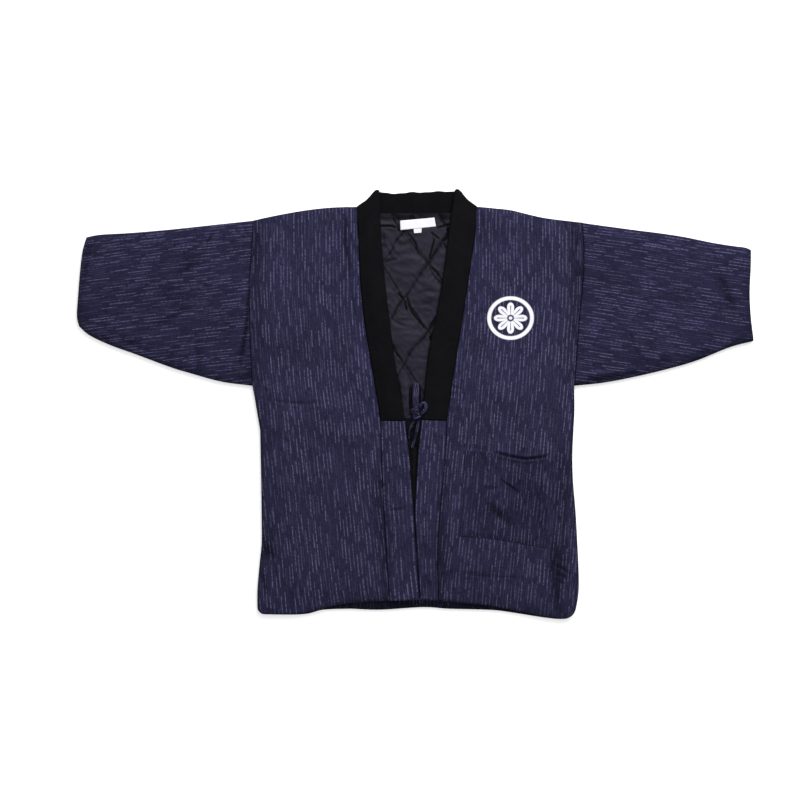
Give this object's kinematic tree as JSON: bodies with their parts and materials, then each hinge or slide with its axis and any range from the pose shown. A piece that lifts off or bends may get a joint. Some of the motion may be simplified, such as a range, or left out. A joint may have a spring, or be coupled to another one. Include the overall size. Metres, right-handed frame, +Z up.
{
  "type": "hanten",
  "caption": "Padded short hanten coat in dashed navy cotton, laid flat front side up, with a black collar, quilted lining, patch pocket and tied front.",
  "frame": {"origin": "middle of the footprint, on the surface that the garment lies on", "axes": "+X to the wearer's left, along the spread sleeves; +Y from the hem to the neck; +Z up, out of the front"},
  "size_m": [1.2972, 0.8253, 0.0265],
  "materials": {
    "dashed_cotton": "matte woven cotton with light dashes",
    "black_cotton": "matte",
    "quilted_lining": "faint sheen, quilted in diamonds",
    "white_label": "woven label"
  },
  "bodies": {
    "root": {"back": "dashed_cotton", "front_right": "dashed_cotton", "front_left": "dashed_cotton", "pocket_left": "dashed_cotton", "sleeve_right": "dashed_cotton", "sleeve_left": "dashed_cotton", "band_right": "dashed_cotton", "band_left": "dashed_cotton", "tie_knot": "dashed_cotton", "tie_loop_up": "dashed_cotton", "tie_loop_side": "dashed_cotton", "tie_tail_right": "dashed_cotton", "tie_tail_left": "dashed_cotton", "tie_root_right": "dashed_cotton", "collar": "black_cotton", "lining": "quilted_lining", "label": "white_label", "size_tab": "white_label"}
  },
  "joints": []
}
